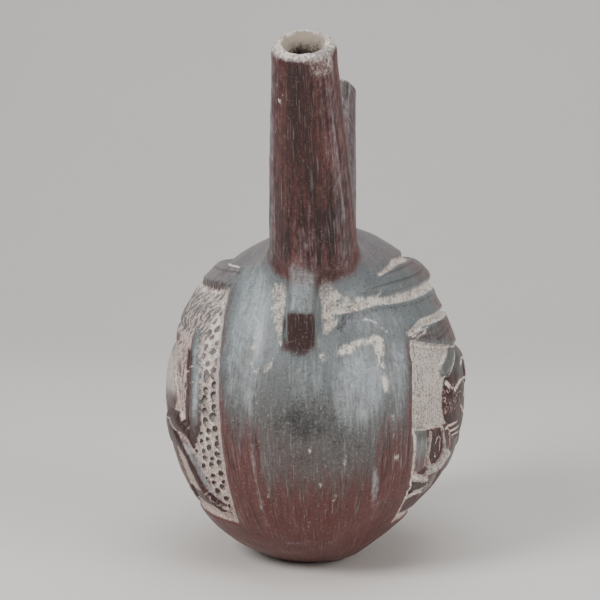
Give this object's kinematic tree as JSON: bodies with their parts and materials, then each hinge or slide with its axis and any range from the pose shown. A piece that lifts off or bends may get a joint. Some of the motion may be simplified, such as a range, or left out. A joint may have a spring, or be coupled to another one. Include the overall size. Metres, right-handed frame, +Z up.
{
  "type": "double spout bottle",
  "caption": "Round-bodied ceramic bottle with a narrow spout leaning out at each end, a flat strap bridge between them and pressed relief panels on both sides.",
  "frame": {"origin": "middle of the flat foot that the bottle stands on", "axes": "+Z up; the two spouts lean apart along Y, the front one towards -Y; the relief sides face -X and +X"},
  "size_m": [0.1191, 0.173, 0.2004],
  "materials": {
    "bottle": "burnished blackware, dusty pale deposits in the hollows of the relief"
  },
  "bodies": {
    "root": {"bottle": "bottle"}
  },
  "joints": []
}
